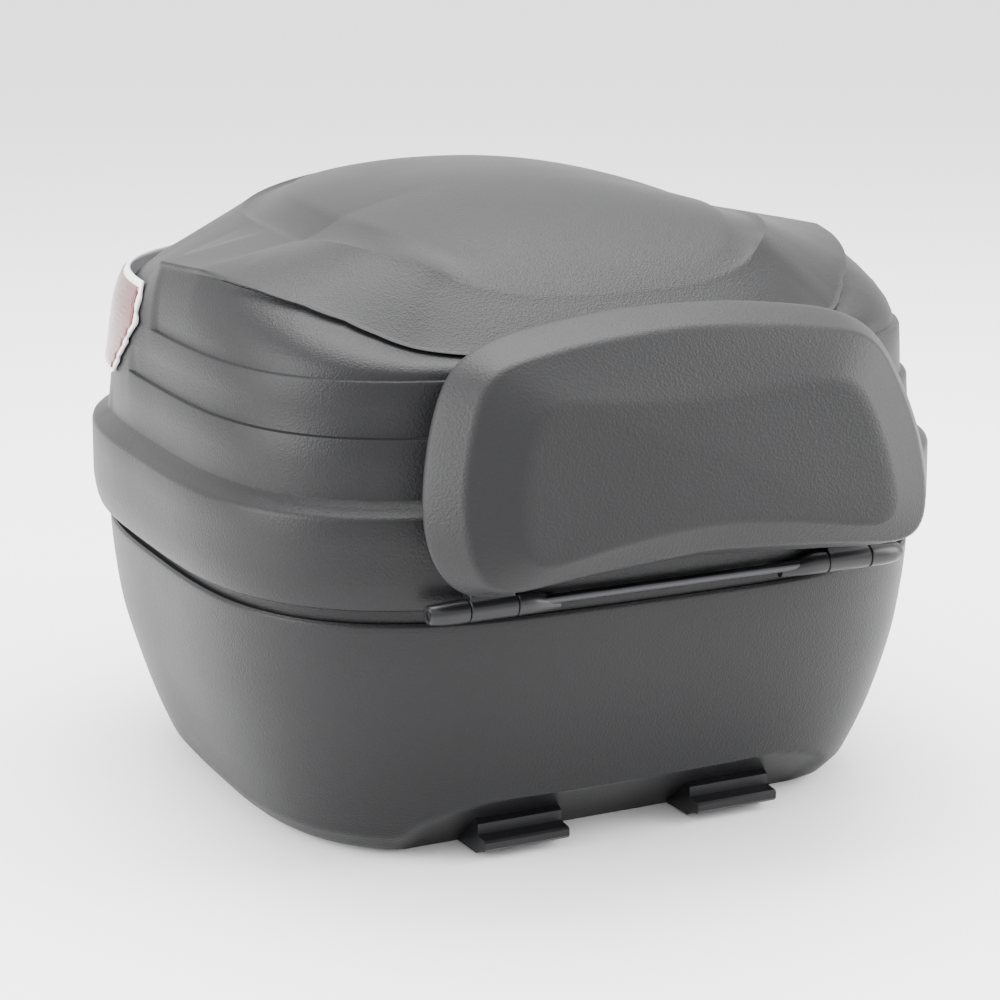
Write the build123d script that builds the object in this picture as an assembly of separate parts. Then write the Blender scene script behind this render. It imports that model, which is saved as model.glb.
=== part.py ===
from build123d import *
import math
import os

# Motorcycle top case: a hollow base tub and a hinged, domed lid with a backrest pad.
# Frame: X across the case, -Y towards the rider (hinge, pad, plate hooks), +Y to the rear
# (lock, reflectors), +Z up, origin on the underside.  Millimetres.

# ---- driving dimensions ----
HALF_WIDTH = 202.5          # widest half size of the lid band, across X
HALF_FRONT = 194.8          # from the centre to the front of the band
HALF_REAR = 195.3           # from the centre to the rear of the band
SQUARE_FRONT = 3.5          # squareness of the plan outline, front half
SQUARE_REAR = 2.9           # squareness of the plan outline, rear half
WALL = 3.0                  # moulded wall thickness
TONGUE_TOP_Z = 148.0        # top of the thin tongue that presses on the seal
HINGE_Y, HINGE_Z = -196.4, 140.9
ROD_R = 2.5                 # steel hinge rod
KNUCKLE_R = 5.6
KNUCKLE_GAP = 0.35          # side gap between neighbouring knuckles
ROD_CLEARANCE = 0.05        # radial, rod to lid knuckle
KNUCKLE_BREAKS = (76.0, 84.0, 108.0, 127.5)   # ends of inner, lid and outer knuckles, from the middle
PAD_TILT = 15.0             # the pad leans back by this much
PAD_ORIGIN = (0, -206.0, 175.0)
PLATE_BAY_TOP = 14.0        # depth of the bay for the rack plate under the base
FLOOR_Z = PLATE_BAY_TOP + WALL
SEAL_SHELF_Z = 152.0        # underside of the shelf in the lid that holds the seal
HOOK_HALF_GAP, HOOK_HALF_FAR = 36.4, 82.1     # inner and outer ends of each plate hook
MIRROR_SIDES = (-1, 1)
INSERT_R = 4.0              # threaded inserts in the back of the pad
SEAT_DEPTH = -0.2           # how far the pad screws' seat sits from the wall's inner face
LID_FRONT_Y = -184.0        # front of the lid's wall behind the pad

# lock unit at the rear
LOCK_HALF_W = 44.0
LOCK_BACK_Y = 151.0
LOCK_LOW_Z, LOCK_TOP_Z = 14.0, 133.0
LOCK_CHEEK = [(148.0, 17.0), (151.0, 17.0), (169.0, 60.0), (180.5, 90.0), (184.0, 133.0), (148.0, 133.0)]   # y, z
LATCH_PIVOT = (176.0, 110.0)      # y, z
BAR_Y, BAR_Z, BAR_R = 170.0, 126.0, 2.0
BUTTON_Z = 96.0                   # height of the button and of the latch arm behind it
BUTTON_HALF_W = 17.0
CYLINDER_Z, CYLINDER_R = 70.0, 8.0
LEVER_PIVOT = (160.0, 44.0)       # y, z
LEVER_HALF_W = 20.0
LEVER_PIN_R, LATCH_PIN_R = 1.5, 1.5
BOLT_Z, BOLT_HALF_W, BOLT_HALF_H = 10.0, 8.0, 2.5
SLIDE_GAP = 0.3                   # clearance round every moving piece

os.makedirs("parts", exist_ok=True)


# ---- outlines: height, then how far the sides, the front and the rear are moved inwards ----
BASE_OUTSIDE = [
    (0, 50, 50, 56), (5, 41, 41, 48), (14, 33.5, 33.5, 41), (41, 23.4, 23.4, 29), (70, 15.5, 16.2, 19),
    (85, 12.5, 13.4, 13.5), (99, 10.2, 11.4, 9.5), (130, 7.5, 8.5, 6.8),
]
BASE_RIM = [
    (130, 11.5, 11.5, 11.5), (TONGUE_TOP_Z, 11.5, 11.5, 11.5), (TONGUE_TOP_Z, 14.5, 14.5, 14.5), (127, 14.5, 14.5, 14.5),
]
BASE_INSIDE = [
    (127, 10.5, 11.5, 9.8), (99, 13.2, 14.4, 12.5), (70, 18.5, 19.2, 22), (41, 26.4, 27, 32), (26, 32, 44, 40),
    (FLOOR_Z, 38, 58, 46),
]
LID_CROWN = [
    (316, 182, 180, 180), (314, 160, 168, 165), (308, 125, 145, 140), (300, 90, 120, 112), (292, 62, 97, 90),
    (284, 40, 80, 70), (277, 23, 62, 52), (262, 20, 43, 30),
]
LID_WALL = [
    (243.2, 17, 17, 17), (242.7, 15, 15, 15), (217.5, 13, 13, 13), (217, 11, 11, 11), (188, 9, 9, 9),
    (182, 0.4, 0.4, 0.4), (150, 0, 0, 0), (138, 2.6, 2.6, 2.6),
]
LID_SEAT = [
    (138, 5.4, 5.4, 5.4), (SEAL_SHELF_Z, 3.2, 3.2, 3.2), (SEAL_SHELF_Z, 15, 15, 15), (147, 15, 15, 15), (147, 17, 17, 17),
    (155, 17, 17, 17), (155, 3.2, 3.2, 3.2), (180, 3.4, 3.4, 3.4), (185.5, 12, 12, 12),
]
LID_INSIDE = [
    (217, 14, 14, 14), (242.7, 18, 18, 18), (262, 23, 47, 34), (275, 27, 66, 56), (281, 43, 84, 74),
    (289, 65, 101, 94), (297, 93, 124, 116), (305, 128, 149, 144), (311, 163, 172, 169), (313, 183, 181, 181),
]
BEVEL = [(-163.0, 31.0), (-131.0, 3.5), (-118.0, -0.8)]      # front bottom edge, y and z
HOOK_SCREW_Y, HOOK_SEAT_Z = -140.0, 18.0
HOOK_SCREW_X = [side * x for side in MIRROR_SIDES for x in (HOOK_HALF_GAP + 10, HOOK_HALF_FAR - 10)]
HOUSING_SCREWS = [(side * 36.0, z) for side in MIRROR_SIDES for z in (56.0, 122.0)]
STRIKER_SCREWS = [(side * 13.0, BAR_Y) for side in MIRROR_SIDES]
PAD_SCREWS = [(side * 52.0, z) for side in MIRROR_SIDES for z in (203.0, 233.0)]
REFLECTOR_X = (58.0, 176.0)
REFLECTOR_Z = (206.0, 256.0)
GARNISH_HALF_W = 50.0
REFLECTOR_WALL = [(262, 20, 43, 30), (243, 16, 16, 16), (217, 12, 12, 12), (188, 9, 9, 9)]


# ---- shape helpers ----
def outline(z, side, front, rear):
    """A horizontal face: the case's plan outline at height z, moved inwards by the given insets."""
    points = []
    count = 24
    for i in range(count):
        a = 2 * math.pi * (i + 0.5) / count
        c, s = math.cos(a), math.sin(a)
        power, depth = (SQUARE_REAR, HALF_REAR - rear) if s > 0 else (SQUARE_FRONT, HALF_FRONT - front)
        x = math.copysign(abs(c) ** (2 / power), c) * (HALF_WIDTH - side)
        y = math.copysign(abs(s) ** (2 / power), s) * depth
        points.append(Vector(x, y, z))
    return Face(Wire([Edge.make_spline(points, periodic=True)]))


def skin(sections):
    """A solid through a run of outlines, which may turn back to leave a hollow."""
    return loft([outline(*s) for s in sections], ruled=True)


def block(x0, x1, y0, y1, z0, z1):
    """An axis-aligned box from its limits."""
    return Pos((x0 + x1) / 2, (y0 + y1) / 2, (z0 + z1) / 2) * Box(x1 - x0, y1 - y0, z1 - z0)


def rod_x(radius, x0, x1, y, z):
    """A round bar along X."""
    return Pos((x0 + x1) / 2, y, z) * Rot(0, 90, 0) * Cylinder(radius, x1 - x0)


def rod_y(radius, x, y0, y1, z):
    """A round bar along Y."""
    return Pos(x, (y0 + y1) / 2, z) * Rot(90, 0, 0) * Cylinder(radius, y1 - y0)


def rod_z(radius, x, y, z0, z1):
    """A round bar along Z."""
    return Pos(x, y, (z0 + z1) / 2) * Cylinder(radius, z1 - z0)


def profile_x(points, x0, x1):
    """A side profile in Y and Z, extruded along X."""
    face = make_face(Polyline(*[(0, y, z) for y, z in points], close=True))
    return Pos(x0, 0, 0) * extrude(face, amount=x1 - x0, dir=(1, 0, 0))


def screw(head_r, head_h, shank_r, length):
    """A pan head screw, head on top of the XY plane, with a cross recess."""
    body = Pos(0, 0, head_h / 2) * Cylinder(head_r, head_h) + Pos(0, 0, -length / 2) * Cylinder(shank_r, length)
    slot = Box(head_r * 1.1, head_r * 0.3, head_h) + Box(head_r * 0.3, head_r * 1.1, head_h)
    return body - Pos(0, 0, head_h) * slot


def torsion_spring(coil_r, wire_r, turns, x, y, z):
    """A close coil around an axle along X, as wire rings side by side."""
    pitch = 2.3 * wire_r
    places = [x + (i - (turns - 1) / 2) * pitch for i in range(turns)]
    return [Pos(place, y, z) * Rot(0, 90, 0) * Torus(coil_r, wire_r) for place in places]


def save(name, shape):
    """Write one piece to its own STEP file."""
    shape.label = name
    export_step(shape, f"parts/{name}.step")


def save_group(name, pieces):
    """Write identical pieces, each its own solid, to one STEP file."""
    save(name, Compound(children=[solid for piece in pieces for solid in piece.solids()]))


# ---- base tub ----
def tub_outside():
    """The tub as a full solid, with the bevel along the front bottom edge."""
    return skin(BASE_OUTSIDE) - bevel_cut()


def bevel_cut():
    low = BEVEL[-1][0]
    return profile_x(BEVEL + [(low, -9.0), (-230.0, -9.0), (-230.0, BEVEL[0][1])], -118, 118)


def base_shell():
    shell = skin(BASE_OUTSIDE + BASE_RIM + BASE_INSIDE) - bevel_cut()
    shell -= block(-110, 110, -112, 128, -1, PLATE_BAY_TOP)
    # pocket for the lock unit, walled on the inside
    walls = block(-LOCK_HALF_W - WALL, LOCK_HALF_W + WALL, LOCK_BACK_Y - WALL, LOCK_BACK_Y + 14, 14, LOCK_TOP_Z)
    for side in MIRROR_SIDES:
        low, high = sorted((side * LOCK_HALF_W, side * (LOCK_HALF_W + WALL)))
        walls += profile_x(LOCK_CHEEK, low, high)
    shell += walls
    shell -= block(-LOCK_HALF_W - SLIDE_GAP, LOCK_HALF_W + SLIDE_GAP, LOCK_BACK_Y, 205, LOCK_LOW_Z, TONGUE_TOP_Z + 1)
    # guide slot for the plate bolt
    half_w, half_h = BOLT_HALF_W + SLIDE_GAP, BOLT_HALF_H + SLIDE_GAP
    shell -= block(-half_w, half_w, 120, LOCK_BACK_Y + 1, BOLT_Z - half_h, BOLT_Z + half_h)
    # hinge knuckles moulded to the base, with webs down to the rim
    inner_end, lid_start, lid_end, outer_end = KNUCKLE_BREAKS
    web = [(HINGE_Y - 5.2, HINGE_Z - 2), (HINGE_Y + 5.2, HINGE_Z - 2), (-186.5, 132.0), (-168.0, 129.0), (-168.0, 123.0),
           (-186.0, 124.0)]
    for side in MIRROR_SIDES:
        for x0, x1 in ((inner_end, lid_start - KNUCKLE_GAP), (lid_end + KNUCKLE_GAP, outer_end)):
            low, high = sorted((side * x0, side * x1))
            shell += rod_x(KNUCKLE_R, low, high, HINGE_Y, HINGE_Z) + profile_x(web, low, high)
    shell -= rod_x(ROD_R, -outer_end - 1, outer_end + 1, HINGE_Y, HINGE_Z)
    for x in HOOK_SCREW_X:
        shell -= rod_z(1.8, x, HOOK_SCREW_Y, 2.0, HOOK_SEAT_Z + 1) + rod_z(4.2, x, HOOK_SCREW_Y, HOOK_SEAT_Z, 45)
    for x, z in HOUSING_SCREWS:
        shell -= rod_y(1.8, x, LOCK_BACK_Y - WALL - 1, LOCK_BACK_Y + 1, z)
    return shell


def plate_hook(side):
    """An L-shaped hook that goes under the rack plate's front lip, shaped to the bevel above it."""
    profile = [(-122.0, 0.6), (-150.0, 1.5), (-155.0, 4.5), (-159.5, 5.2), (-161.0, 6.8), (-161.0, 10.0),
               (-159.8, 11.0), (-152.0, 11.6), (-152.0, 17.0), (-148.0, 19.0), (-122.0, 19.0)]
    low, high = sorted((side * HOOK_HALF_GAP, side * HOOK_HALF_FAR))
    hook = (profile_x(profile, low, high) - tub_outside()).solids().sort_by(Axis.Z)[0]
    for x in HOOK_SCREW_X:
        hook -= rod_z(1.8, x, HOOK_SCREW_Y, 2.9, 20)
    return hook


def hook_screws():
    shape = screw(3.6, 2.4, 1.75, 14.0)
    return [Pos(x, HOOK_SCREW_Y, HOOK_SEAT_Z) * shape for x in HOOK_SCREW_X]


# ---- lid ----
def lid_shell():
    shell = skin(LID_CROWN + LID_WALL + LID_SEAT + LID_INSIDE)
    shell += block(-18, 18, BAR_Y - 9, 193, SEAL_SHELF_Z, SEAL_SHELF_Z + 8)
    outer_end = KNUCKLE_BREAKS[3]
    reach = KNUCKLE_R + 0.9
    shell -= rod_x(reach, -outer_end - 3, outer_end + 3, HINGE_Y, HINGE_Z)
    shell -= block(-outer_end - 3, outer_end + 3, -205, HINGE_Y + reach, 130, HINGE_Z)
    web = [(HINGE_Y - 5.0, HINGE_Z + 2.4), (HINGE_Y - 3.0, HINGE_Z + 9.0), (-190.5, HINGE_Z + 12.0), (-184.0, 160.0),
           (-184.0, SEAL_SHELF_Z), (HINGE_Y + 5.2, HINGE_Z + 2)]
    for side in MIRROR_SIDES:
        low, high = sorted((side * KNUCKLE_BREAKS[1], side * KNUCKLE_BREAKS[2]))
        shell += rod_x(KNUCKLE_R, low, high, HINGE_Y, HINGE_Z) + profile_x(web, low, high)
    shell -= rod_x(ROD_R + ROD_CLEARANCE, -outer_end - 1, outer_end + 1, HINGE_Y, HINGE_Z)
    for x, y in STRIKER_SCREWS:
        shell -= rod_z(1.8, x, y, SEAL_SHELF_Z - 1, SEAL_SHELF_Z + 6.5)
    for x, z in PAD_SCREWS:
        seat = screw_seat_y(z)
        shell -= rod_y(2.6, x, -192, seat + 1, z) + rod_y(6.4, x, seat, seat + 8, z)
    z0, z1 = REFLECTOR_Z
    x0, x1 = REFLECTOR_X
    shell -= block(x0, x1, 60, 200, z0, z1) + block(-x1, -x0, 60, 200, z0, z1)
    return shell - block(-GARNISH_HALF_W, GARNISH_HALF_W, 60, 200, z0, z1)


def wall_patch(outset, thickness, x0, x1, z0, z1):
    """A curved plate that follows the lid's rear wall, cut to a window in X and Z."""
    def moved(by):
        rows = [(z, *[inset + by for inset in insets]) for z, *insets in REFLECTOR_WALL]
        return skin(rows)
    return (moved(-outset) - moved(thickness - outset)) & block(x0, x1, 60, 200, z0, z1)


def reflector(side):
    """The red lens and the clear frame around it, in the lid's rear corner."""
    x0, x1 = sorted((side * REFLECTOR_X[0], side * REFLECTOR_X[1]))
    z0, z1 = REFLECTOR_Z
    frame = wall_patch(0.3, 4.0, x0, x1, z0, z1)
    lens = wall_patch(1.0, 3.0, x0 + 4, x1 - 4, z0 + 4, z1 - 4)
    return lens, frame - lens


def rear_garnish():
    return wall_patch(0.8, 4.0, -GARNISH_HALF_W, GARNISH_HALF_W, *REFLECTOR_Z)


def lid_seal():
    """The rubber ring in the lid's channel."""
    z0, z1 = TONGUE_TOP_Z + SLIDE_GAP, SEAL_SHELF_Z
    outer, inner = (11.2,) * 3, (14.8,) * 3
    return skin([(z0, *outer), (z1, *outer)]) - skin([(z0 - 1, *inner), (z1 + 1, *inner)])


def striker():
    """The steel catch that the latch hook holds: a plate with two legs and a cross bar."""
    top = SEAL_SHELF_Z
    piece = block(-17, 17, BAR_Y - 6, BAR_Y + 6, top - 2, top)
    for side in MIRROR_SIDES:
        piece += rod_z(BAR_R, side * 7.0, BAR_Y, BAR_Z, top - 1)
    piece += rod_x(BAR_R, -9, 9, BAR_Y, BAR_Z)
    for x, y in STRIKER_SCREWS:
        piece -= rod_z(1.8, x, y, top - 3, top + 1)
    return piece


def striker_screws():
    shape = Rot(180, 0, 0) * screw(3.0, 1.8, 1.75, 8.0)
    return [Pos(x, y, SEAL_SHELF_Z - 2) * shape for x, y in STRIKER_SCREWS]


# ---- backrest ----
PAD_SECTIONS = [             # depth, then half widths low, middle, high; then heights of the edges
    (0.0, (131, 134, 112), (-16, -22), (12, 100, 84)), (20.0, (120, 120, 103), (-16, -26), (20, 87.5, 77)),
    (29.0, (99, 95, 82), (-4, -17), (22, 53, 58)),
]


def pad_face(depth, halves, bottom, heights):
    """One outline of the pad: arched bottom, bowed sides and a crowned top, at a depth in front of the back."""
    low, middle, high = halves
    bottom_mid, bottom_end = bottom
    side_mid, top_mid, top_end = heights
    corners = [(-low, bottom_end), (low, bottom_end), (high, top_end), (-high, top_end)]
    mids = [(0, bottom_mid), (middle, side_mid), (0, top_mid), (-middle, side_mid)]
    sides = [ThreePointArc(corners[i], mids[i], corners[(i + 1) % 4]) for i in range(4)]
    face = make_face(sides)
    face = fillet(face.vertices(), 13)
    return Plane(origin=(0, 0, depth)) * face


def tilted(shape):
    """Stand a shape drawn flat (Z outwards) up in front of the lid, leaning back with the pad."""
    return Pos(*PAD_ORIGIN) * Rot(90 - PAD_TILT, 0, 0) * shape


def backrest_pad():
    pad = tilted(loft([pad_face(*row) for row in PAD_SECTIONS], ruled=True))
    for x, z in PAD_SCREWS:
        pad -= pad_insert_place(x, z, INSERT_R, 14.0)
    return pad


def pad_backplate():
    """The moulded plate behind the pad, with a boss at each screw that reaches the lid wall."""
    plate = tilted(extrude(pad_face(0, (124, 127, 106), (-8, -14), (12, 93, 78)), amount=-4.0))
    for x, z in PAD_SCREWS:
        plate += rod_y(8.0, x, pad_back_y(z) + 3.5, LID_FRONT_Y + 3, z)
    plate -= skin(LID_CROWN[-2:] + LID_WALL)
    for x, z in PAD_SCREWS:
        plate -= rod_y(2.6, x, -215, -170, z)
    return plate




def pad_back_y(z):
    """Where the pad's back face is at height z."""
    return PAD_ORIGIN[1] + (z - PAD_ORIGIN[2]) * math.tan(math.radians(PAD_TILT))


def pad_insert_place(x, z, radius, length):
    """A round bar into the pad from its back face, behind a lid screw."""
    return rod_y(radius, x, pad_back_y(z) - length, pad_back_y(z) + 2.0, z)


def pad_inserts():
    """Threaded brass inserts, one behind each lid screw, set in the pad."""
    return [rod_y(INSERT_R, x, pad_back_y(z) - 12.0, pad_back_y(z) - 1.5, z)
            - rod_y(2.5, x, pad_back_y(z) - 13.0, pad_back_y(z), z) for x, z in PAD_SCREWS]


def screw_seat_y(z):
    """The flat seat on the inside of the lid's front wall for a backrest screw."""
    rows = [(row[0], row[2]) for row in LID_SEAT[-1:] + LID_INSIDE[:2]]
    low, high = (rows[0], rows[1]) if z < rows[1][0] else (rows[1], rows[2])
    inset = low[1] + (high[1] - low[1]) * (z - low[0]) / (high[0] - low[0])
    return -(HALF_FRONT - inset) + SEAT_DEPTH


def pad_washers():
    washer = Cylinder(6.0, 1.5) - Cylinder(2.6, 3.0)
    return [Pos(x, screw_seat_y(z) + 0.75, z) * Rot(90, 0, 0) * washer for x, z in PAD_SCREWS]


def pad_screws():
    pieces = []
    for x, z in PAD_SCREWS:
        seat = screw_seat_y(z) + 1.5
        reach = seat - (pad_back_y(z) - 10.0)
        pieces.append(Pos(x, seat, z) * Rot(-90, 0, 0) * screw(4.5, 3.0, 2.45, reach))
    return pieces


# ---- lock unit ----
def lock_housing():
    """The moulded block that holds the button, the lock, the latch and the release lever."""
    face = [(LOCK_BACK_Y, LOCK_LOW_Z + SLIDE_GAP), (153.0, LOCK_LOW_Z + SLIDE_GAP), (176.0, 60.0), (185.0, 84.0),
            (187.0, 110.0), (186.5, LOCK_TOP_Z - 5), (182.0, LOCK_TOP_Z), (LOCK_BACK_Y, LOCK_TOP_Z)]
    body = profile_x(face, -LOCK_HALF_W, LOCK_HALF_W)
    pivot_y, pivot_z = LATCH_PIVOT
    body -= block(-9, 9, 160, 184, 88, LOCK_TOP_Z + 1)
    body -= block(-19.3, 19.3, 160, 184, 86, 106)
    body -= block(-BUTTON_HALF_W - SLIDE_GAP, BUTTON_HALF_W + SLIDE_GAP, 180, 190, 87.7, 104.3)
    body -= block(-12, 12, 164, 176, LOCK_TOP_Z - 12, LOCK_TOP_Z + 1)
    body -= rod_y(CYLINDER_R + SLIDE_GAP, 0, 158, 192, CYLINDER_Z)
    body -= block(-21, 21, 160, 172, 62, 88) + block(-21, 21, 160, 165, 48.5, 92)
    lever_y, lever_z = LEVER_PIVOT
    body -= block(-LEVER_HALF_W - SLIDE_GAP, LEVER_HALF_W + SLIDE_GAP, 153, 180, 14, 50)
    body -= rod_x(LATCH_PIN_R, -15, 15, pivot_y, pivot_z) + rod_x(LEVER_PIN_R, -30, 30, lever_y, lever_z)
    for x, z in HOUSING_SCREWS:
        body -= rod_y(1.8, x, LOCK_BACK_Y - 1, LOCK_BACK_Y + 9, z)
    return body



def housing_screws():
    """Screws driven from inside the case through the pocket wall."""
    shape = Rot(90, 0, 0) * screw(3.6, 2.4, 1.75, 11.0)
    return [Pos(x, LOCK_BACK_Y - WALL, z) * shape for x, z in HOUSING_SCREWS]


def lid_button():
    """The push button that frees the lid; its back pushes the latch arm's foot and is relieved above it."""
    button = block(-BUTTON_HALF_W, BUTTON_HALF_W, 181, 189, 88, 104)
    button += block(-18.5, 18.5, 179.5, 182, 87, 105)
    return button - block(-4.8, 4.8, 179, 185.5, BUTTON_Z + 2, 106)


def latch_hook():
    """The pivoting hook: a nose over the striker bar and an arm behind the button."""
    py, pz = LATCH_PIVOT
    nose = [(167.5, 129.0), (172.8, 128.4), (172.8, 121.0), (py - 3.5, pz), (py + 3.5, pz), (177.2, 121.0),
            (177.2, 132.0), (168.5, 132.0)]
    hook = profile_x(nose, -4, 4) + rod_x(4.0, -4, 4, py, pz) + rod_x(2.5, -4, 4, py + 0.7, BUTTON_Z)
    hook += profile_x([(py - 2, pz), (py + 2.5, pz), (py + 2.9, BUTTON_Z), (py - 1.5, BUTTON_Z)], -4, 4)
    return hook - rod_x(LATCH_PIN_R + ROD_CLEARANCE, -6, 6, py, pz)


def lock_cylinder():
    """The lock barrel with its keyway, flush with the housing, and a square tail."""
    barrel = rod_y(CYLINDER_R, 0, 164, 180, CYLINDER_Z)
    barrel += block(-2.5, 2.5, 158.5, 165, CYLINDER_Z - 2.5, CYLINDER_Z + 2.5)
    return barrel - block(-1.0, 1.0, 172, 182, CYLINDER_Z - 3.5, CYLINDER_Z + 3.5)


def lock_cam():
    """The cam on the barrel's tail, which makes a quarter turn with the key."""
    cam = block(-19, 6, 161, 163.7, CYLINDER_Z - 5, CYLINDER_Z + 5)
    return cam - block(-2.5, 2.5, 158, 166, CYLINDER_Z - 2.5, CYLINDER_Z + 2.5)


def release_lever():
    """The finger lever that draws the plate bolt, with its pivot bore near the top."""
    py, pz = LEVER_PIVOT
    side = [(157.0, 47.0), (163.0, 47.0), (169.0, 44.0), (158.5, 18.0), (154.2, 16.5), (154.2, 19.0), (163.0, 38.0),
            (157.0, 41.0)]
    lever = profile_x(side, -LEVER_HALF_W, LEVER_HALF_W)
    return lever - rod_x(LEVER_PIN_R + ROD_CLEARANCE, -25, 25, py, pz)


def plate_bolt():
    """The sliding bolt that locks the case to its rack plate."""
    low, high = BOLT_Z - BOLT_HALF_H, BOLT_Z + BOLT_HALF_H
    return profile_x([(116.0, low), (138.0, low), (138.0, high), (119.0, high), (116.0, high - 2)],
                     -BOLT_HALF_W, BOLT_HALF_W)


# ---- write every piece ----
for hand, side in (("left", -1), ("right", 1)):
    save(f"plate_hook_{hand}", plate_hook(side))
    red_lens, clear_frame = reflector(side)
    save(f"reflector_lens_{hand}", red_lens)
    save(f"reflector_frame_{hand}", clear_frame)

save("base_shell", base_shell())
save("lid_shell", lid_shell())
save("lid_seal", lid_seal())
save("rear_garnish", rear_garnish())
save("striker", striker())
save("backrest_pad", backrest_pad())
save("pad_backplate", pad_backplate())
save("lock_housing", lock_housing())
save("lid_button", lid_button())
save("latch_hook", latch_hook())
save("lock_cylinder", lock_cylinder())
save("lock_cam", lock_cam())
save("release_lever", release_lever())
save("plate_bolt", plate_bolt())
save("hinge_rod", rod_x(ROD_R, -KNUCKLE_BREAKS[3] + 0.4, KNUCKLE_BREAKS[3] - 0.4, HINGE_Y, HINGE_Z))
save("latch_pivot_pin", rod_x(LATCH_PIN_R, -14, 14, *LATCH_PIVOT))
save("lever_pivot_pin", rod_x(LEVER_PIN_R, -29, 29, *LEVER_PIVOT))
save_group("latch_spring", torsion_spring(2.7, 0.5, 4, 6.6, *LATCH_PIVOT))
save_group("hook_screws", hook_screws())
save_group("striker_screws", striker_screws())
save_group("housing_screws", housing_screws())
save_group("pad_screws", pad_screws())
save_group("pad_washers", pad_washers())
save_group("pad_inserts", pad_inserts())
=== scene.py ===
import math

import bpy
import numpy as np
from mathutils import Matrix, Vector


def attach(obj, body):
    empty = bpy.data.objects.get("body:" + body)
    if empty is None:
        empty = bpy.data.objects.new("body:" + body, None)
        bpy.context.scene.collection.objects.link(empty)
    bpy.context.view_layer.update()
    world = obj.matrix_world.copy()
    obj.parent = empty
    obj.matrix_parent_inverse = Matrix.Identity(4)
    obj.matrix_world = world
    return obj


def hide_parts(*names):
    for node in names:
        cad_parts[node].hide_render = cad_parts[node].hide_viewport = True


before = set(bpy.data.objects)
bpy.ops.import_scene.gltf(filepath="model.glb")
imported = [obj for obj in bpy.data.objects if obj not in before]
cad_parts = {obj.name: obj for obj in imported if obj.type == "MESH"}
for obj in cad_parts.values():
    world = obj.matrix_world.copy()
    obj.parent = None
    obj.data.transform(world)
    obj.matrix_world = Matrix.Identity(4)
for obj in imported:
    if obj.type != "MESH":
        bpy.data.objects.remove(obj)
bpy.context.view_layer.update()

# Motorcycle top case.  Lengths in this script are millimetres until a mesh is made.
MM = 0.001
HALF_WIDTH, HALF_FRONT, HALF_REAR = 202.4, 194.7, 195.2
SQUARE_FRONT, SQUARE_REAR = 3.5, 2.9
AROUND = 384                     # points round each outline
HINGE_Y, HINGE_Z = -196.4, 140.9
EDGE_ANGLE, SOFT_ANGLE = 35.0, 60.0      # edges sharper than these are shaded as edges
KNUCKLE_R, KNUCKLE_EDGE_R = 5.6, 5.2     # a knuckle, and its chamfered ends


# ---- numeric helpers ----
def smooth(a, b, x):
    """0 below a, 1 above b, smooth between."""
    t = np.clip((np.asarray(x, float) - a) / (b - a), 0.0, 1.0)
    return t * t * (3 - 2 * t)


def unit_outline():
    """The plan outline's points as fractions of its half sizes, evenly spread round it."""
    fine = 2 * np.pi * (np.arange(AROUND * 8) + 0.5) / (AROUND * 8)
    c, s = np.cos(fine), np.sin(fine)
    power = np.where(s > 0, SQUARE_REAR, SQUARE_FRONT)
    x, y = np.sign(c) * np.abs(c) ** (2 / power), np.sign(s) * np.abs(s) ** (2 / power)
    x, y = np.append(x, x[0]), np.append(y, y[0])
    length = np.append(0, np.cumsum(np.hypot(np.diff(x), np.diff(y))))
    even = np.linspace(0, length[-1], AROUND, endpoint=False)
    return np.interp(even, length, x), np.interp(even, length, y)


UNIT_X, UNIT_Y = unit_outline()
REAR_SIDE = UNIT_Y > 0


def outline(side, front=None, rear=None):
    """The case's plan outline as x and y arrays, moved inwards by the given insets."""
    front = side if front is None else front
    rear = side if rear is None else rear
    depth = np.where(REAR_SIDE, HALF_REAR - rear, HALF_FRONT - front)
    return UNIT_X * (HALF_WIDTH - side), UNIT_Y * depth


# ---- mesh helpers ----
def make_object(name, points, faces, finish, smooth_angle=EDGE_ANGLE):
    """A mesh object from points in millimetres."""
    mesh = bpy.data.meshes.new(name)
    mesh.from_pydata([tuple(p) for p in np.asarray(points) * MM], [], faces)
    mesh.update()
    piece = bpy.data.objects.new(name, mesh)
    bpy.context.scene.collection.objects.link(piece)
    piece.data.materials.append(finish)
    mesh.shade_smooth()
    mesh.set_sharp_from_angle(angle=math.radians(smooth_angle))
    return piece


def grid(rows):
    """Points and faces of closed rings joined in order, with both open ends closed by a fan."""
    count = len(rows[0])
    points = [p for row in rows for p in row]
    faces = []
    for r in range(len(rows) - 1):
        a, b = r * count, (r + 1) * count
        faces += [(a + i, a + (i + 1) % count, b + (i + 1) % count, b + i) for i in range(count)]
    points.append(np.mean(rows[0], axis=0))
    faces += [(len(points) - 1, (i + 1) % count, i) for i in range(count)]
    last = (len(rows) - 1) * count
    points.append(np.mean(rows[-1], axis=0))
    faces += [(len(points) - 1, last + i, last + (i + 1) % count) for i in range(count)]
    return points, faces


def level(z, side, front=None, rear=None):
    """One ring of a shell at height z."""
    x, y = outline(side, front, rear)
    return np.stack([x, y, np.full(AROUND, float(z))], 1)


def knuckle(name, side, stations, sides=48):
    """A hinge knuckle along X: (distance from the middle, radius, dy, dz) stations about the hinge line."""
    turn = 2 * np.pi * np.arange(sides) / sides
    across, up = np.cos(turn), np.sin(turn)
    rows = [np.stack([np.full(sides, side * x), HINGE_Y + dy + r * across, HINGE_Z + dz + r * up], 1)
            for x, r, dy, dz in stations]
    return make_object(name, *grid(rows), SMOOTH)


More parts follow.
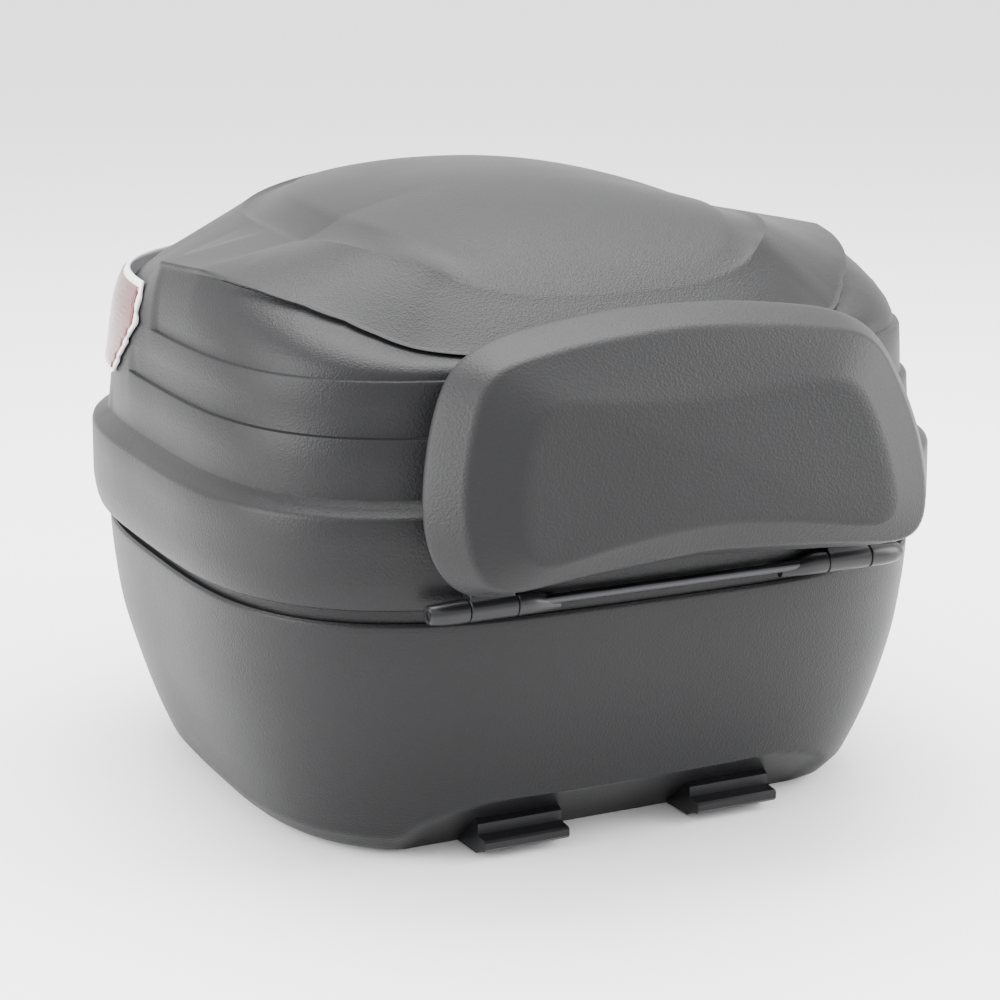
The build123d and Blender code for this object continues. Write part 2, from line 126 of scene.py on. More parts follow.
def apply_modifier(piece, smooth_angle):
    """Bake a piece's modifier into its mesh and shade it again."""
    bpy.context.view_layer.update()
    done = bpy.data.meshes.new_from_object(piece.evaluated_get(bpy.context.evaluated_depsgraph_get()))
    piece.modifiers.clear()
    piece.data = done
    piece.data.shade_smooth()
    piece.data.set_sharp_from_angle(angle=math.radians(smooth_angle))


def cut(piece, cutter):
    """Cut one mesh out of another and remove the cutter."""
    modifier = piece.modifiers.new("cut", "BOOLEAN")
    modifier.operation = "DIFFERENCE"
    modifier.solver = "EXACT"
    modifier.object = cutter
    apply_modifier(piece, EDGE_ANGLE)
    bpy.data.objects.remove(cutter)


def rounded_block(name, low, high, radius, segments=3):
    """A box with rounded edges between two corners."""
    x0, y0, z0 = low
    x1, y1, z1 = high
    points = [(x, y, z) for z in (z0, z1) for y in (y0, y1) for x in (x0, x1)]
    faces = [(0, 2, 3, 1), (4, 5, 7, 6), (0, 1, 5, 4), (2, 6, 7, 3), (0, 4, 6, 2), (1, 3, 7, 5)]
    return rounded(make_object(name, points, faces, SHELL), radius, segments)


def rounded(piece, radius, segments=3):
    """Round a piece's sharp edges by a bevel, applied to its mesh."""
    modifier = piece.modifiers.new("round", "BEVEL")
    modifier.width = radius * MM
    modifier.segments = segments
    modifier.limit_method = "ANGLE"
    modifier.angle_limit = math.radians(30)
    apply_modifier(piece, 50)
    return piece


def prism_x(name, profile, x0, x1, finish, radius=0.0):
    """A side profile in Y and Z, drawn along X."""
    points = [(x, y, z) for x in (x0, x1) for y, z in profile]
    count = len(profile)
    faces = [tuple(range(count))[::-1], tuple(range(count, 2 * count))]
    faces += [(i, (i + 1) % count, count + (i + 1) % count, count + i) for i in range(count)]
    piece = make_object(name, points, faces, finish)
    return rounded(piece, radius) if radius else piece


# ---- materials ----
def material(name, colour, roughness, metallic=0.0, coat=0.0):
    """A new node material and its shader."""
    made = bpy.data.materials.new(name)
    made.use_nodes = True
    shader = made.node_tree.nodes["Principled BSDF"]
    shader.inputs["Base Color"].default_value = (*colour, 1)
    shader.inputs["Roughness"].default_value = roughness
    shader.inputs["Metallic"].default_value = metallic
    shader.inputs["Coat Weight"].default_value = coat
    return made, shader


def grained(name, colour, roughness, grain_mm, depth_mm, spread=0.25, specular=0.5):
    """Moulded plastic or foam skin: an embossed grain, with slow changes of tone and gloss."""
    made, shader = material(name, colour, roughness)
    shader.inputs["Specular IOR Level"].default_value = specular
    nodes, links = made.node_tree.nodes, made.node_tree.links
    place = nodes.new("ShaderNodeTexCoord")
    cells = nodes.new("ShaderNodeTexVoronoi")
    cells.feature = "SMOOTH_F1"
    cells.inputs["Scale"].default_value = 1000.0 / grain_mm
    fine = nodes.new("ShaderNodeTexNoise")
    fine.inputs["Scale"].default_value = 1600.0 / grain_mm
    fine.inputs["Detail"].default_value = 3
    broad = nodes.new("ShaderNodeTexNoise")
    broad.inputs["Scale"].default_value = 14
    broad.inputs["Detail"].default_value = 4
    mix = nodes.new("ShaderNodeMath")
    mix.operation = "MULTIPLY_ADD"
    mix.inputs[1].default_value = 0.5
    bump = nodes.new("ShaderNodeBump")
    bump.inputs["Distance"].default_value = depth_mm * MM
    bump.inputs["Strength"].default_value = 1.0
    for node in (cells, fine, broad):
        links.new(place.outputs["Object"], node.inputs["Vector"])
    links.new(fine.outputs["Fac"], mix.inputs[0])
    links.new(cells.outputs["Distance"], mix.inputs[2])
    links.new(mix.outputs[0], bump.inputs["Height"])
    links.new(bump.outputs["Normal"], shader.inputs["Normal"])
    rough = nodes.new("ShaderNodeMapRange")
    rough.inputs["To Min"].default_value = roughness - 0.06
    rough.inputs["To Max"].default_value = roughness + 0.06
    links.new(broad.outputs["Fac"], rough.inputs["Value"])
    links.new(rough.outputs["Result"], shader.inputs["Roughness"])
    tone = nodes.new("ShaderNodeValToRGB")
    tone.color_ramp.elements[0].position, tone.color_ramp.elements[1].position = 0.25, 0.8
    tone.color_ramp.elements[0].color = (*[c * (1 - spread) for c in colour], 1)
    tone.color_ramp.elements[1].color = (*[c * (1 + spread) for c in colour], 1)
    speck = nodes.new("ShaderNodeMath")
    speck.operation = "MULTIPLY_ADD"
    speck.inputs[1].default_value = 0.6
    links.new(fine.outputs["Fac"], speck.inputs[0])
    scaled = nodes.new("ShaderNodeMath")
    scaled.operation = "MULTIPLY"
    scaled.inputs[1].default_value = 0.4
    links.new(broad.outputs["Fac"], scaled.inputs[0])
    links.new(scaled.outputs[0], speck.inputs[2])
    links.new(speck.outputs[0], tone.inputs["Fac"])
    links.new(tone.outputs["Color"], shader.inputs["Base Color"])
    return made


def metal(name, colour, roughness, stretch):
    """Drawn or plated steel with fine lines along one direction."""
    made, shader = material(name, colour, roughness, metallic=1.0)
    nodes, links = made.node_tree.nodes, made.node_tree.links
    place = nodes.new("ShaderNodeTexCoord")
    scale = nodes.new("ShaderNodeMapping")
    scale.inputs["Scale"].default_value = stretch
    lines = nodes.new("ShaderNodeTexNoise")
    lines.inputs["Scale"].default_value = 60
    lines.inputs["Detail"].default_value = 5
    rough = nodes.new("ShaderNodeMapRange")
    rough.inputs["To Min"].default_value = roughness * 0.7
    rough.inputs["To Max"].default_value = roughness * 1.4
    bump = nodes.new("ShaderNodeBump")
    bump.inputs["Distance"].default_value = 0.00003
    links.new(place.outputs["Object"], scale.inputs["Vector"])
    links.new(scale.outputs["Vector"], lines.inputs["Vector"])
    links.new(lines.outputs["Fac"], rough.inputs["Value"])
    links.new(rough.outputs["Result"], shader.inputs["Roughness"])
    links.new(lines.outputs["Fac"], bump.inputs["Height"])
    links.new(bump.outputs["Normal"], shader.inputs["Normal"])
    return made


def prism_lens(name, colour):
    """A glossy reflector lens: a grid of small raised prisms under a clear coat, each prism's colour lighter in its
    middle and darker at its edges, which is painted facet light and shade.
    """
    made, shader = material(name, colour, 0.22, coat=0.35)
    shader.inputs["Coat Roughness"].default_value = 0.04
    nodes, links = made.node_tree.nodes, made.node_tree.links
    place = nodes.new("ShaderNodeTexCoord")
    cells = nodes.new("ShaderNodeTexVoronoi")
    cells.distance = "CHEBYCHEV"
    cells.inputs["Scale"].default_value = 330
    cells.inputs["Randomness"].default_value = 0.0
    # painted light and shade: each prism is coloured lighter in its middle and darker at its edges; the grid of
    # prisms itself is the lens's own pattern
    ramp = nodes.new("ShaderNodeValToRGB")
    ramp.color_ramp.elements[0].color = (*[c * 1.5 for c in colour], 1)
    ramp.color_ramp.elements[1].color = (*[c * 0.45 for c in colour], 1)
    bump = nodes.new("ShaderNodeBump")
    bump.inputs["Distance"].default_value = 0.0004
    links.new(place.outputs["Object"], cells.inputs["Vector"])
    links.new(cells.outputs["Distance"], ramp.inputs["Fac"])
    links.new(ramp.outputs["Color"], shader.inputs["Base Color"])
    links.new(cells.outputs["Distance"], bump.inputs["Height"])
    links.new(bump.outputs["Normal"], shader.inputs["Normal"])
    return made


SHELL = grained("shell_grain", (0.0060, 0.0060, 0.0068), 0.45, 1.0, 0.16, specular=0.22)
SMOOTH = grained("smooth_plastic", (0.005, 0.005, 0.006), 0.34, 0.5, 0.015, specular=0.3)
FOAM = grained("foam_skin", (0.0080, 0.0080, 0.0088), 0.48, 1.2, 0.14, specular=0.24)
RUBBER = grained("seal_rubber", (0.008, 0.008, 0.008), 0.7, 0.6, 0.03, specular=0.2)
GLOSS = grained("gloss_trim", (0.012, 0.012, 0.013), 0.16, 2.5, 0.004)
# painted reflection: the reflector rim is coloured pale grey to stand in for the white surroundings mirrored at a
# grazing angle round the red lens
PAINTED_REFLECTION_RIM = grained("rim_painted_reflection", (0.80, 0.80, 0.82), 0.18, 3.0, 0.01, spread=0.08)
RED_LENS = prism_lens("red_lens", (0.085, 0.0006, 0.0022))
STEEL = metal("drawn_steel", (0.62, 0.62, 0.63), 0.25, (1, 14, 14))
DARK_STEEL = metal("dark_steel", (0.22, 0.22, 0.23), 0.35, (1, 10, 10))
BLACK_STEEL = metal("black_steel", (0.045, 0.045, 0.048), 0.30, (1, 14, 14))
BRASS = metal("brass", (0.75, 0.55, 0.25), 0.3, (8, 1, 8))

CAD_FINISHES = {
    BLACK_STEEL: ["hinge_rod"],
    STEEL: ["latch_pivot_pin", "lever_pivot_pin", "latch_spring", "striker", "lock_cylinder", "hook_screws",
            "housing_screws", "striker_screws", "pad_screws", "pad_washers"],
    DARK_STEEL: ["latch_hook", "lock_cam"],
    BRASS: ["pad_inserts"],
    RUBBER: ["lid_seal"],
    GLOSS: ["rear_garnish"],
    SMOOTH: ["lock_housing", "lid_button", "release_lever", "plate_bolt", "pad_backplate", "plate_hook_left",
             "plate_hook_right"],
}
for finish, nodes in CAD_FINISHES.items():
    for node in nodes:
        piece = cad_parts[node]
        piece.data.materials.clear()
        piece.data.materials.append(finish)


def place(piece, body, slot, *nodes):
    """Let a piece ride on a body and hide the CAD nodes it stands for; the slot is not used."""
    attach(piece, body)
    if nodes:
        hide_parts(*nodes)


# ---- base tub ----
BASE_PROFILE = np.array([        # height, side, front and rear inset of the outer wall
    (0.0, 52, 52, 58), (1.5, 47, 47, 53), (5, 41.2, 41.2, 48), (14, 33.8, 33.8, 41), (26, 28.7, 28.7, 36),
    (41, 23.4, 23.4, 29.5), (54, 19.6, 19.7, 24), (70, 15.2, 16.2, 17.5), (80, 12.9, 14.2, 12.8),
    (92, 11.0, 12.4, 10.2), (112, 8.8, 9.8, 7.9), (128.2, 7.7, 8.7, 7.0), (130.0, 8.9, 9.9, 8.2)])
BEVEL_TOP, BEVEL_TOE, BEVEL_HALF_W = (-163.0, 31.0), (-131.0, 3.5), 112.0


def base_bevel(row):
    """Flatten the front bottom edge to the sloped facet the plate hooks sit on."""
    x, y, z = row.T.copy()
    slope = (BEVEL_TOE[0] - BEVEL_TOP[0]) / (BEVEL_TOP[1] - BEVEL_TOE[1])
    facet_y = BEVEL_TOP[0] + (BEVEL_TOP[1] - z) * slope
    reach = 1 - smooth(BEVEL_HALF_W - 6, BEVEL_HALF_W + 16, np.abs(x))
    inside = (y < facet_y) & (z < BEVEL_TOP[1])
    y = np.where(inside, y + (facet_y - y) * reach, y)
    return np.stack([x, y, z], 1)


def base_shell():
    """The tub: the open bay underneath, the outer wall, the tongue for the seal and the inner wall."""
    heights = np.concatenate([np.linspace(0, 14, 12), np.linspace(16, 128, 46), np.linspace(128.3, 130, 5)])
    fits = [np.interp(heights, BASE_PROFILE[:, 0], BASE_PROFILE[:, k]) for k in (1, 2, 3)]
    fits = [eased(f) for f in fits]
    bay = [level(z, 92, 84, 68) for z in (14.0, 0.6)] + [level(0, 90, 82, 66)]
    outer = [level(z, a, b, c) for z, a, b, c in zip(heights, *fits)]
    rim = [level(z, inset) for z, inset in (
        (130, 11.5), (147.4, 11.5), (148, 12.1), (148, 14.0), (147.4, 14.5), (127, 14.5))]
    inner = [level(z, a, b, c) for z, a, b, c in (
        (126, 11.2, 12.2, 10.6), (99, 13.4, 14.6, 12.9), (85, 15.7, 16.6, 16.7), (70, 18.6, 19.4, 21),
        (41, 26.6, 27.2, 32.6), (30, 31, 38, 38), (20, 37, 50, 46), (17, 42, 60, 52))]
    rows = bay + [base_bevel(row) for row in outer] + rim + inner
    shell = make_object("base_tub", *grid(rows), SHELL)
    pocket_low, pocket_high = (-44.3, 151, 13.7), (44.3, 215, 149)
    cut(shell, rounded_block("cut_pocket", pocket_low, pocket_high, 0.5, 1))
    return shell


def eased(values):
    """Values with their corners softened, apart from the last four."""
    out = values.copy()
    for _ in range(3):
        out[1:-1] = (out[:-2] + 2 * out[1:-1] + out[2:]) / 4
    out[-4:] = values[-4:]
    return out


tub = base_shell()
place(tub, "base", "shell_plastic", "base_shell")
back_wall = rounded_block("lock_pocket_back", (-47, 148, 14), (47, 150.8, 133), 0.6)
place(back_wall, "base", "shell_plastic")
CHEEK = [(148, 17), (150.5, 17), (168, 60), (178, 90), (182, 133), (148, 133)]      # y and height
for hand, side in (("left", -1), ("right", 1)):
    low, high = sorted((side * 44.4, side * 47))
    cheek = prism_x(f"lock_pocket_cheek_{hand}", CHEEK, low, high, SHELL)
    place(cheek, "base", "shell_plastic")


# ---- hinge knuckles: the lid's are round sleeves, the base's taper into the tub ----
OUTER_KNUCKLE = [                # distance from the middle, radius, dy and dz off the hinge line
    (108.4, KNUCKLE_EDGE_R, 0, 0), (108.9, KNUCKLE_R, 0, 0), (116, KNUCKLE_R, 0.1, -0.1),
    (122, 5.2, 0.6, -0.3), (126.6, 4.6, 1.4, -0.3), (127.5, 3.9, 1.8, -0.2), (127.5, 2.6, 0, 0), (126.0, 2.55, 0, 0)]
INNER_KNUCKLE = [
    (60, 2.6, 2.6, -3.2), (66, 3.9, 1.8, -1.9), (72, 5.0, 0.7, -0.7), (76, 5.55, 0, 0),
    (83.1, KNUCKLE_R, 0, 0), (83.6, KNUCKLE_EDGE_R, 0, 0)]
LID_KNUCKLE = [
    (84.1, KNUCKLE_EDGE_R, 0, 0), (84.6, KNUCKLE_R, 0, 0), (107.4, KNUCKLE_R, 0, 0),
    (107.9, KNUCKLE_EDGE_R, 0, 0)]
LID_WEB = [
    (HINGE_Y - 3, HINGE_Z + 4), (HINGE_Y - 1, HINGE_Z + 10), (-186, 156), (-184, 153), (HINGE_Y + 5, HINGE_Z + 2)]
for hand, side in (("left", -1), ("right", 1)):
    outer = knuckle(f"base_knuckle_outer_{hand}", side, OUTER_KNUCKLE)
    inner = knuckle(f"base_knuckle_inner_{hand}", side, INNER_KNUCKLE)
    sleeve = knuckle(f"lid_knuckle_{hand}", side, LID_KNUCKLE)
    low, high = sorted((side * 84.6, side * 107.4))
    web = prism_x(f"lid_knuckle_web_{hand}", LID_WEB, low, high, SMOOTH, 0.8)
    for piece in (outer, inner):
        place(piece, "base", "hook_plastic")
    for piece in (sleeve, web):
        place(piece, "lid", "hook_plastic")


# ---- lid ----
BAND = np.array([(150.0, 0.2), (152, 0.0), (158, 0.0), (170, 0.15), (180.5, 0.3), (182.3, 0.9), (183.6, 2.2)])
TIERS = np.array([               # stepped wall at the front and sides: height, inset
    (185.8, 6.0), (187.6, 8.6), (189.0, 9.6), (203, 10.2), (215.6, 10.9), (216.8, 11.5), (217.3, 13.6),
    (218.2, 13.9), (230, 14.3), (241.2, 14.9), (242.5, 15.5), (243.0, 17.6), (244.0, 17.9)])
REAR_WALL = np.array([           # smooth wall behind the break: height, inset
    (183.6, 2.2), (188, 8.7), (200, 10.1), (214, 11.4), (223, 12.8), (231, 13.9), (243, 15.8), (244, 16.0)])
WALL_BREAK = np.array([(188.0, 80), (214, 40), (243, 8), (257, 12), (269, 26)])     # height and y
CAP_EDGE = np.array([            # y, plan inset and height of the crown's edge line, front to rear
    (-171.0, 24, 251.0), (-160, 32, 255.0), (-150, 37.5, 260.5), (-138, 40.5, 266.0), (-117, 40, 271.5),
    (-87, 35.5, 276.0), (-60, 30, 278.5), (-38, 26, 279.5), (10, 22, 277), (24, 24, 271.5), (50, 33, 268.5),
    (90, 38, 268), (200, 38, 268)])
CAP_GUIDE_INSET = 22.0           # outline whose y the table above is read at
CAP_PATH = [                     # share of the way up to the edge line, and how far the undercut pulls it in
    (0.12, 0.0), (0.3, 0.0), (0.5, 0.1), (0.66, 0.4), (0.78, 1.0), (0.86, 1.5), (0.92, 1.3), (0.95, 0.4),
    (0.975, 0.0), (1.0, 0.5)]
DOME_Z, DOME_Y = 315.3, 25.0
RING_DEPTH = 2.2                 # valley between the ring and the dome
KERB_Z = 244.0                   # top of the stepped wall


def dome_height(x, y):
    """Height of the crown's broad dome."""
    front = np.maximum(DOME_Y - y, 0)
    rear = np.maximum(y - DOME_Y, 0)
    sag = np.clip((y + 118) / 95, 0, 1) * 16.7 * (np.abs(x) / 99) ** 2.2
    return DOME_Z - 1.2314e-4 * front ** 2.5 - 26 * (rear / 150) ** 2.2 - sag


def loop(half_x, front, rear, power):
    """A rounded outline about the dome's middle with the shell's own column directions."""
    reach_x = np.abs(UNIT_X) / half_x
    reach_y = np.abs(UNIT_Y) / np.where(REAR_SIDE, rear, front)
    size = 1 / (reach_x ** power + reach_y ** power) ** (1 / power)
    return UNIT_X * size, UNIT_Y * size


def crown_rows(skin):
    """Rings from the top of the stepped wall over the crown, moved in by a skin thickness."""
    guide_y = outline(CAP_GUIDE_INSET)[1]
    inset = np.interp(guide_y, CAP_EDGE[:, 0], CAP_EDGE[:, 1]) + skin
    cap_z = np.interp(guide_y, CAP_EDGE[:, 0], CAP_EDGE[:, 2]) - skin
    crest_x, crest_y = loop(121, 142, 130, 3.0)
    edge_x, edge_y = loop(97, 136, 112, 3.0)
    crest_z = dome_height(crest_x, crest_y) - skin
    crest_z = crest_z + 4.0 * np.exp(-((np.abs(crest_x) - 103) / 14) ** 2) * smooth(-100, -135, crest_y)
    behind = smooth(-3, 3, guide_y - np.interp(KERB_Z, WALL_BREAK[:, 0], WALL_BREAK[:, 1]))
    tier_top, rear_top = TIERS[-1, 1], REAR_WALL[-1, 1]
    wall = tier_top + (rear_top - tier_top) * behind + skin
    undercut = 0.5 + 2.2 * smooth(-10, -110, guide_y)
    undercut = undercut * (1 - smooth(0, 40, guide_y))
    rows = []
    for t, pull in CAP_PATH:
        bow = 3.0 * math.sin(math.pi * t) * (1 - 0.5 * behind)
        each = wall + (inset - wall) * t ** 1.15 - bow * (inset - wall) / 18.0 + undercut * pull
        x, y = outline(each)
        rows.append(np.stack([x, y, KERB_Z + (cap_z - KERB_Z) * t], 1))
    start_x, start_y = rows[-1][:, 0], rows[-1][:, 1]
    for t in np.linspace(0.03, 1, 30):
        x, y = start_x + (crest_x - start_x) * t, start_y + (crest_y - start_y) * t
        rise = 0.62 * t + 0.38 * t ** 2 + 0.10 * math.sin(math.pi * t)
        rows.append(np.stack([x, y, cap_z + (crest_z - cap_z) * min(rise, 1.0)], 1))
    fade = smooth(-141, -105, crest_y)
    for t in np.linspace(0.12, 1, 9):
        x, y = crest_x + (edge_x - crest_x) * t, crest_y + (edge_y - crest_y) * t
        own = dome_height(x, y) - skin
        lift = (crest_z - dome_height(crest_x, crest_y) + skin) * (1 - t) ** 2
        valley = RING_DEPTH * fade * np.sin(np.pi * min(t ** 0.7, 1.0)) ** 0.8
        rows.append(np.stack([x, y, own + lift - valley], 1))
    for t in np.linspace(0.04, 0.985, 34):
        x, y = edge_x * (1 - t), edge_y * (1 - t) + DOME_Y * t
        rows.append(np.stack([x, y, dome_height(x, y) - skin], 1))
    return rows


def wall_rows(skin):
    """Rings of the lid's band and stepped wall, bottom to top."""
    rows = [level(z, inset + skin) for z, inset in BAND]
    for z, inset in TIERS:
        tier_y = outline(inset + skin)[1]
        behind = smooth(-3, 3, tier_y - np.interp(z, WALL_BREAK[:, 0], WALL_BREAK[:, 1]))
        plain = np.interp(z, REAR_WALL[:, 0], REAR_WALL[:, 1])
        each = inset + (plain - inset) * behind + skin
        x, y = outline(each)
        rows.append(np.stack([x, y, np.full(AROUND, z)], 1))
    return rows


def lid_shell():
    """The lid: its inside, the shelf and lip that hold the seal, the hem, the outside wall and the crown."""
    inside = crown_rows(3.0)[::-1] + wall_rows(3.2)[:3:-1]
    seal_shelf = [level(z, inset) for z, inset in (
        (155.0, 3.2), (155.0, 17), (147, 17), (147, 15), (152, 15), (152, 3.2))]
    hem = [level(z, inset) for z, inset in (
        (139, 5.0), (138.2, 4.6), (138, 4.2), (138.2, 3.4), (139.0, 2.5), (142, 1.5), (146, 0.7))]
    rows = inside + seal_shelf + hem + wall_rows(0.0) + crown_rows(0.0)
    return make_object("lid_crown", *grid(rows), SHELL, 30)


lid = lid_shell()
place(lid, "lid", "shell_plastic", "lid_shell")


# ---- backrest pad, drawn in its own frame tilted back from upright ----
TILT = math.radians(15)
PAD_ORIGIN = (-206.0, 175.0)
PAD_COLUMNS = 288
PAD_MIDDLE = np.array([0.0, 30.0])
BACK_DEPTH, CREASE_DEPTH, FACE_DEPTH = 3.0, 21.6, 29.0     # where side wall, chamfer and face begin
PAD_BACK = [(0, 100), (35, 99), (63, 95.5), (84, 92.5), (98, 88), (110, 82), (118, 72), (126.5, 51), (132, 30),
            (134.5, 12), (133, -5), (128.5, -14), (122, -22), (112, -25.5), (60, -22), (0, -18)]
PAD_CREASE = [(0, 87.4), (18, 86.8), (56, 83.7), (86, 79), (97, 77), (105, 70), (113, 49), (119.9, 26),
              (121.5, 6), (120, -13), (115, -22), (105, -24.5), (63, -20), (0, -16)]
PAD_FACE = [(0, 53), (30, 54.4), (67, 58.0), (80, 56.5), (87, 49), (94.5, 24), (98, 0), (98.5, -9),
            (93, -15.5), (72, -12.5), (44, -7.5), (21, -5), (0, -3.5)]


def pad_ring(half, soften):
    """One section of the pad as evenly spread points, from half of its outline."""
    whole = np.array(half + [(-x, u) for x, u in half[-2:0:-1]], float)
    closed = np.vstack([whole, whole[:1]])
    length = np.append(0, np.cumsum(np.hypot(*np.diff(closed, axis=0).T)))
    even = np.linspace(0, length[-1], PAD_COLUMNS, endpoint=False)
    ring = np.stack([np.interp(even, length, closed[:, 0]), np.interp(even, length, closed[:, 1])], 1)
    for _ in range(soften):
        ring = (np.roll(ring, 1, 0) + 2 * ring + np.roll(ring, -1, 0)) / 4
    return ring


def blended(start, corner, end, t):
    """A point on the round stretch that leaves start, turns at corner and arrives at end."""
    return (1 - t) ** 2 * start + 2 * t * (1 - t) * corner + t ** 2 * end


def pad_stations():
    """The pad's rings with their depths: back, side wall, its rounded edge, chamfer and face."""
    back, crease, face = pad_ring(PAD_BACK, 30), pad_ring(PAD_CREASE, 30), pad_ring(PAD_FACE, 60)
    stations = [(PAD_MIDDLE + (back - PAD_MIDDLE) * t, 1.5) for t in np.linspace(0.02, 0.97, 10)]
    stations += [(PAD_MIDDLE + (back - PAD_MIDDLE) * share, depth)
                 for share, depth in ((0.985, 0.2), (0.997, 1.2), (1.0, BACK_DEPTH))]
    stations += [(back + (crease - back) * t, BACK_DEPTH + 17.5 * t ** 0.92) for t in np.linspace(0.08, 0.84, 14)]
    shoulder, shoulder_depth = back + (crease - back) * 0.84, BACK_DEPTH + 17.5 * 0.84 ** 0.92
    chamfer_start = crease + (face - crease) * 0.10
    stations += [(blended(shoulder, crease, chamfer_start, t), blended(shoulder_depth, 20.8, CREASE_DEPTH, t))
                 for t in np.linspace(0.12, 1.0, 9)]
    stations += [(crease + (face - crease) * t, CREASE_DEPTH + 7.4 * ((t - 0.10) / 0.80))
                 for t in np.linspace(0.14, 0.9, 22)]
    chamfer_end, face_start = crease + (face - crease) * 0.9, face + (PAD_MIDDLE - face) * 0.07
    stations += [(blended(chamfer_end, face, face_start, t), blended(FACE_DEPTH, 29.8, 29.9, t))
                 for t in np.linspace(0.1, 1.0, 8)]
    stations += [(face_start + (PAD_MIDDLE - face_start) * t, 29.9 + 0.6 * t) for t in np.linspace(0.1, 0.985, 30)]
    return stations


def pad_cushion():
    """The foam pad, with a slight unevenness of its skin that fades towards its back."""
    rows = []
    for ring, depth in pad_stations():
        x, u = ring.T
        sag = 0.5 * np.sin(x / 31.0 + 0.6) * np.cos(u / 23.0) * np.clip(depth / FACE_DEPTH, 0, 1)
        depth = depth + sag
        y = PAD_ORIGIN[0] + u * math.sin(TILT) - depth * math.cos(TILT)
        z = PAD_ORIGIN[1] + u * math.cos(TILT) + depth * math.sin(TILT)
        rows.append(np.stack([x, y, z], 1))
    return make_object("pad_cushion", *grid(rows), FOAM, SOFT_ANGLE)


pad = pad_cushion()
place(pad, "lid", "pad_foam", "backrest_pad")


# ---- reflectors at the rear: curved patches that follow the wall ----
PATCH_WALL = np.array([          # height and inset of the wall the reflectors sit on
    (200.0, 10.1), (214, 11.4), (223, 12.8), (231, 13.9), (243, 15.8), (248, 16.9), (256, 19.5), (264, 24)])
PATCH_ROWS, PATCH_COLUMNS, PATCH_THICKNESS = 22, 70, 2.0


def wall_patch(name, side, low_z, high_z, inner_x, lead, proud, finish):
    """A plate on the rear wall, from inner_x round the corner to a lead past the wall's break."""
    rows = []
    for z in np.linspace(low_z, high_z, PATCH_ROWS):
        inset = np.interp(z, PATCH_WALL[:, 0], PATCH_WALL[:, 1]) - proud
        x, y = UNIT_X * (HALF_WIDTH - inset), UNIT_Y * (HALF_REAR - inset)
        start_y = np.interp(z, WALL_BREAK[:, 0], WALL_BREAK[:, 1]) + lead
        keep = np.where((x * side > 0) & (y > start_y) & (np.abs(x) > inner_x))[0]
        order = keep[np.argsort(y[keep])]
        px, py = x[order], y[order]
        length = np.append(0, np.cumsum(np.hypot(np.diff(px), np.diff(py))))
        even = np.linspace(0, length[-1], PATCH_COLUMNS)
        level_z = np.full(PATCH_COLUMNS, z)
        rows.append(np.stack([np.interp(even, length, px), np.interp(even, length, py), level_z], 1))
    points = [p for row in rows for p in row]
    turn = 1 if side < 0 else -1
    corners = [(a := r * PATCH_COLUMNS + c, a + 1, a + PATCH_COLUMNS + 1, a + PATCH_COLUMNS)
               for r in range(PATCH_ROWS - 1) for c in range(PATCH_COLUMNS - 1)]
    faces = [corner[::turn] for corner in corners]
    piece = make_object(name, points, faces, finish)
    solid = piece.modifiers.new("thickness", "SOLIDIFY")
    solid.thickness = PATCH_THICKNESS * MM
    solid.offset = -1
    return piece


for hand, side in (("left", -1), ("right", 1)):
    # the rim is a real frame; its pale colour is painted reflection of the white surroundings
    rim = wall_patch(f"reflector_rim_{hand}", side, 211.0, 262.0, 58.0, 19.0, 0.8, PAINTED_REFLECTION_RIM)
    lens = wall_patch(f"reflector_red_{hand}", side, 214.0, 259.0, 62.0, 21.5, 1.7, RED_LENS)
    place(rim, "lid", "frame_clear", f"reflector_frame_{hand}")
    place(lens, "lid", "lens_red", f"reflector_lens_{hand}")

# ---- floor, light and camera, in metres ----
CAMERA_TARGET, CAMERA_DISTANCE = Vector((0, 0, 0.150)), 1.4086
CAMERA_BACK = Vector((-0.42175, -0.87243, 0.24700))
CAMERA_RIGHT, CAMERA_UP = Vector((0.90032, -0.43523, 0.0)), Vector((0.10750, 0.22238, 0.96903))
SHIFT_RIGHT, SHIFT_UP = 0.003064, -0.013706      # of the camera, from the line to its target
FLOOR_HALF = 30.0

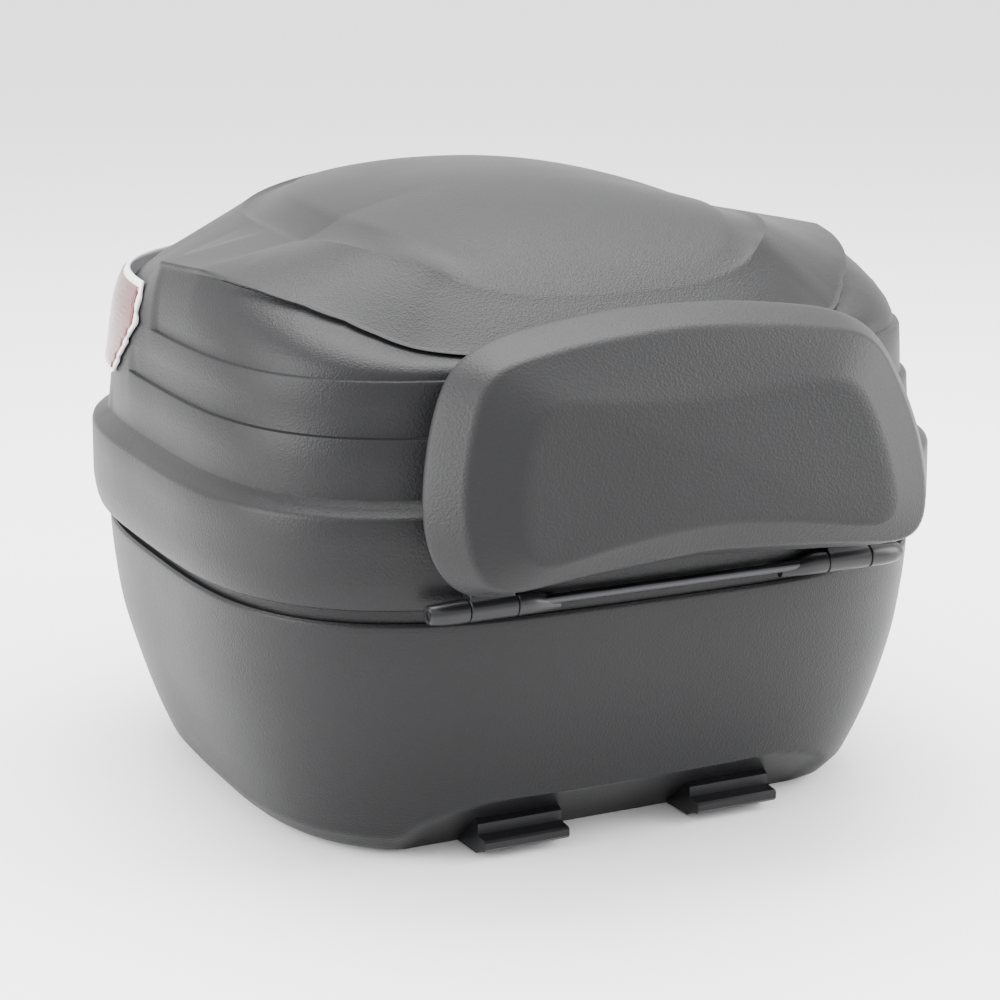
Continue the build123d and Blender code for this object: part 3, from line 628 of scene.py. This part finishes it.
floor_finish = material("pale_floor", (0.93, 0.93, 0.93), 0.6)[0]
floor_mesh = bpy.data.meshes.new("floor")
floor_corners = [(x * FLOOR_HALF, y * FLOOR_HALF, 0) for x, y in ((-1, -1), (1, -1), (1, 1), (-1, 1))]
floor_mesh.from_pydata(floor_corners, [], [(0, 1, 2, 3)])
floor = bpy.data.objects.new("floor", floor_mesh)
floor.data.materials.append(floor_finish)
bpy.context.scene.collection.objects.link(floor)


def lamp(name, place_at, aim, size, power):
    """A soft rectangular studio light aimed at a point."""
    data = bpy.data.lights.new(name, "AREA")
    data.shape = "RECTANGLE"
    data.size, data.size_y = size
    data.energy = power
    made = bpy.data.objects.new(name, data)
    made.location = place_at
    made.rotation_euler = (Vector(aim) - Vector(place_at)).to_track_quat("-Z", "Y").to_euler()
    bpy.context.scene.collection.objects.link(made)


lamp("soft_top", (0.1, 0.25, 1.9), (0, 0, 0.2), (1.6, 1.4), 95)
lamp("soft_left", (-1.9, 0.1, 0.9), (0, 0, 0.15), (1.2, 1.4), 70)
lamp("soft_right", (1.7, -0.9, 0.9), (0, 0, 0.15), (1.0, 1.4), 60)

world = bpy.data.worlds.new("studio")
bpy.context.scene.world = world
world.use_nodes = True
world.node_tree.nodes["Background"].inputs["Color"].default_value = (1, 1, 1, 1)
world.node_tree.nodes["Background"].inputs["Strength"].default_value = 2.4

eye = CAMERA_TARGET + CAMERA_BACK * CAMERA_DISTANCE + CAMERA_RIGHT * SHIFT_RIGHT + CAMERA_UP * SHIFT_UP
camera_data = bpy.data.cameras.new("camera")
camera_data.lens, camera_data.sensor_width, camera_data.clip_end = 94.35, 36.0, 100.0
camera = bpy.data.objects.new("camera", camera_data)
camera.matrix_world = Matrix((
    (CAMERA_RIGHT.x, CAMERA_UP.x, CAMERA_BACK.x, eye.x), (CAMERA_RIGHT.y, CAMERA_UP.y, CAMERA_BACK.y, eye.y),
    (CAMERA_RIGHT.z, CAMERA_UP.z, CAMERA_BACK.z, eye.z), (0, 0, 0, 1)))
bpy.context.scene.collection.objects.link(camera)
bpy.context.scene.camera = camera
